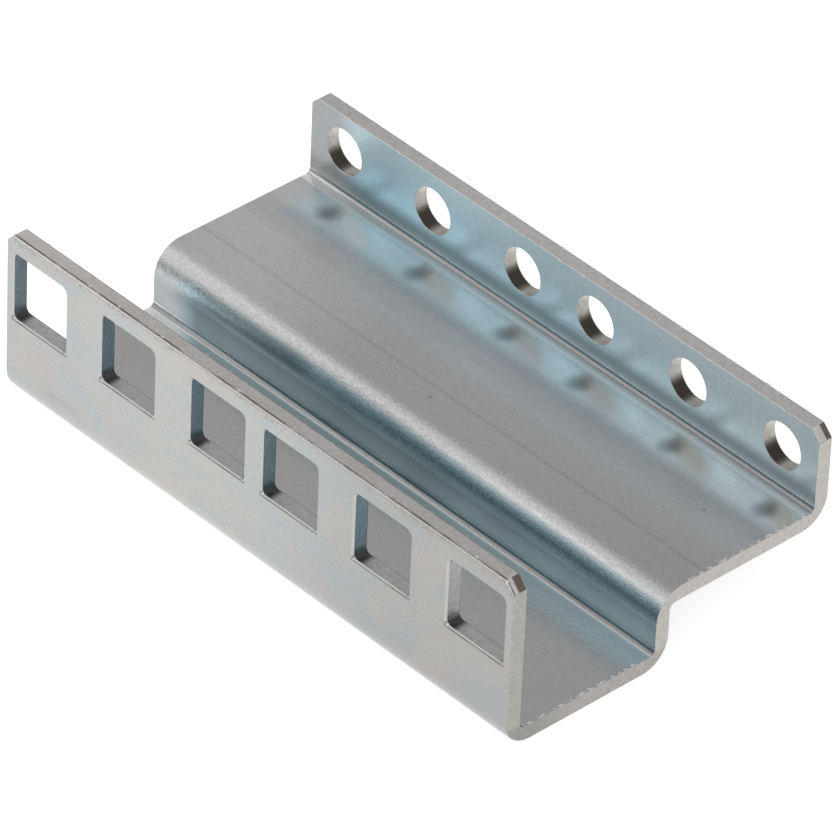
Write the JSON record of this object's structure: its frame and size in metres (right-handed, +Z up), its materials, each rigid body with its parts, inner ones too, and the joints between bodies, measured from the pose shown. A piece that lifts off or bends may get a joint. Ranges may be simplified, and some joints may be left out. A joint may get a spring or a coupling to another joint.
{
  "type": "rack hole adapter bracket",
  "caption": "Folded steel bracket that carries a row of square rack holes on one flange and a row of round rack holes on the other, over a stepped channel.",
  "frame": {"origin": "middle of the resting plane under the channel floor, at the centre of the bracket's length and width", "axes": "+X along the hole rows, +Y from the square-hole flange to the round-hole flange, +Z up out of the channel"},
  "size_m": [0.0882, 0.0508, 0.0241],
  "materials": {
    "zinc_plated_steel": "zinc plated, blue-clear, satin"
  },
  "bodies": {
    "root": {"bracket": "zinc_plated_steel"}
  },
  "joints": []
}
